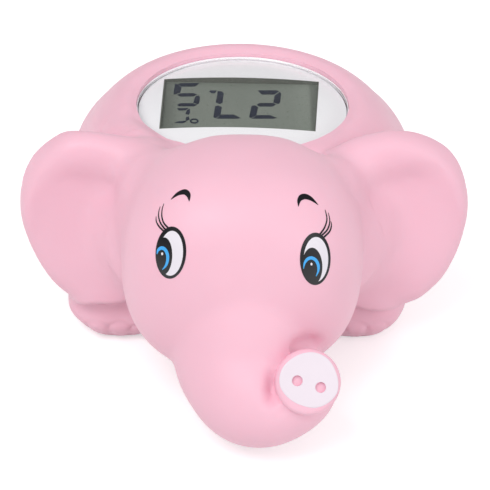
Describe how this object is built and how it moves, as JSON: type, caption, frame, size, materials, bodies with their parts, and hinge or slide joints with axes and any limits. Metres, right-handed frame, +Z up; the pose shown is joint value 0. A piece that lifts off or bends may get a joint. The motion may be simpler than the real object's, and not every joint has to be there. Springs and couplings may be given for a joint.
{
  "type": "baby bath thermometer",
  "caption": "Floating bath thermometer: a hollow soft elephant with rolled ears, a curled trunk and a sealed round display pod in its back.",
  "frame": {"origin": "centre of the footprint of the whole elephant, at the level of its soles", "axes": "+Z up, -Y toward the trunk, +X toward the side the trunk curls to"},
  "size_m": [0.0956, 0.1156, 0.0571],
  "materials": {
    "pink_vinyl": "soft matt vinyl",
    "clear_lens": "polished clear",
    "white_print": "printed behind the lens",
    "lcd_glass": "grey-green display glass",
    "white_moulding": "moulded",
    "white_casing": "moulded",
    "black_rubber": "moulded",
    "stainless": "bright",
    "cell_steel": "nickelled",
    "nickelled_brass": "nickelled",
    "tinned_copper": "tinned",
    "green_board": "lacquered",
    "black_epoxy": "poured",
    "tan_ceramic": "fired",
    "bead_glass": "glazed",
    "white_insulation": "extruded",
    "red_insulation": "extruded",
    "black_insulation": "extruded"
  },
  "bodies": {
    "root": {"elephant_skin": "pink_vinyl", "display_lens": "clear_lens", "lens_mask": "white_print", "lcd_cell": "lcd_glass", "lcd_frame": "white_moulding", "contact_strip": "black_rubber", "upper_case": "white_casing", "lower_case": "white_casing", "case_gasket": "black_rubber", "case_screw_1": "stainless", "case_screw_2": "stainless", "case_screw_3": "stainless", "case_screw_4": "stainless", "circuit_board": "green_board", "board_screw_1": "stainless", "board_screw_2": "stainless", "board_screw_3": "stainless", "chip_blob": "black_epoxy", "clock_crystal": "nickelled_brass", "capacitor_1": "tan_ceramic", "capacitor_2": "tan_ceramic", "coin_cell": "cell_steel", "contact_minus": "nickelled_brass", "contact_plus": "nickelled_brass", "battery_door": "white_casing", "door_screw_1": "stainless", "door_screw_2": "stainless", "door_seal": "black_rubber", "sensor_cap": "stainless", "thermistor_bead": "bead_glass", "thermistor_lead_1": "tinned_copper", "thermistor_lead_2": "tinned_copper", "contact_stud_1": "stainless", "contact_stud_2": "stainless", "stud_washer_1": "black_rubber", "stud_washer_2": "black_rubber", "stud_wire_1": "white_insulation", "stud_wire_2": "white_insulation", "wire_plus": "red_insulation", "wire_minus": "black_insulation"}
  },
  "joints": []
}
